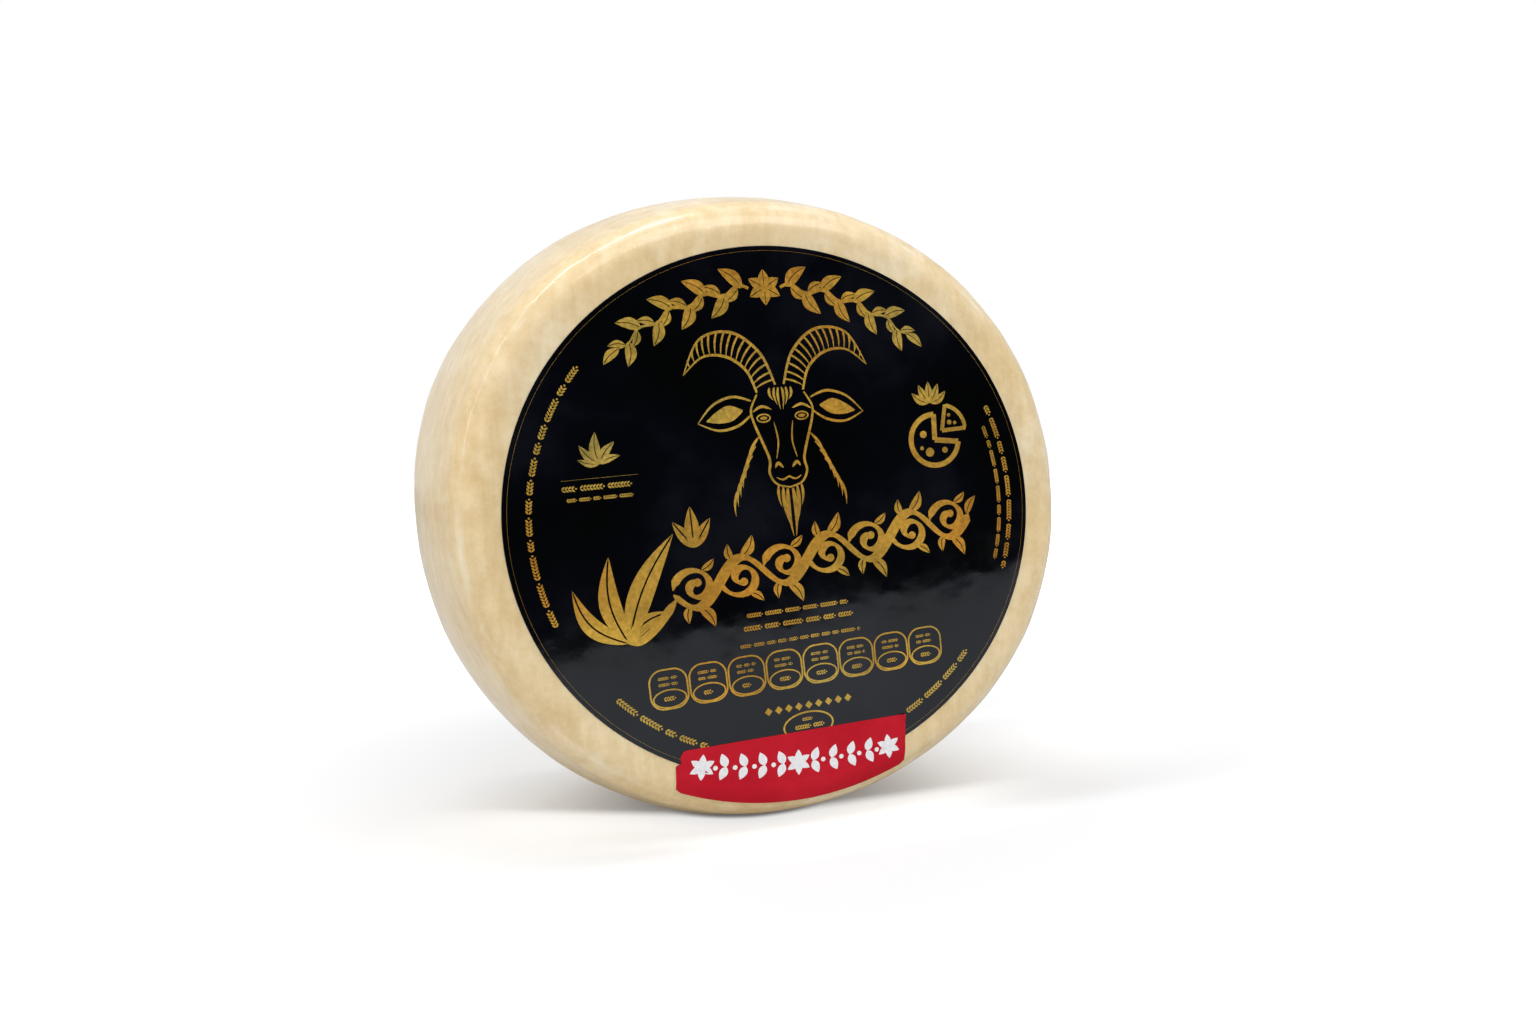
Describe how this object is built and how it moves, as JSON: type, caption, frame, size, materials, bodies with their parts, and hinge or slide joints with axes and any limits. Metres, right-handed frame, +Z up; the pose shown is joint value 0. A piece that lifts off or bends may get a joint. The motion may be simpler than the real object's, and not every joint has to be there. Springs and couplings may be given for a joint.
{
  "type": "cheese wheel",
  "caption": "Small whole pressed cheese wheel standing on its rim, with rounded shoulders, a round dark film label on the front face and a red strip sticker across its foot.",
  "frame": {"origin": "on the surface that the wheel stands on, below the middle of the whole object", "axes": "+Z up from the rim's flat; the wheel's axis along Y, the label facing -Y and the plain back face facing +Y; +X to the right as the label is read"},
  "size_m": [0.14, 0.0776, 0.1395],
  "materials": {
    "cheese_rind": "satin",
    "label_film": "gloss",
    "foil_print": "satin",
    "sticker_film": "satin",
    "sticker_print": "matte"
  },
  "bodies": {
    "root": {"cheese_wheel": "cheese_rind", "round_label": "label_film", "strip_sticker": "sticker_film"}
  },
  "joints": []
}
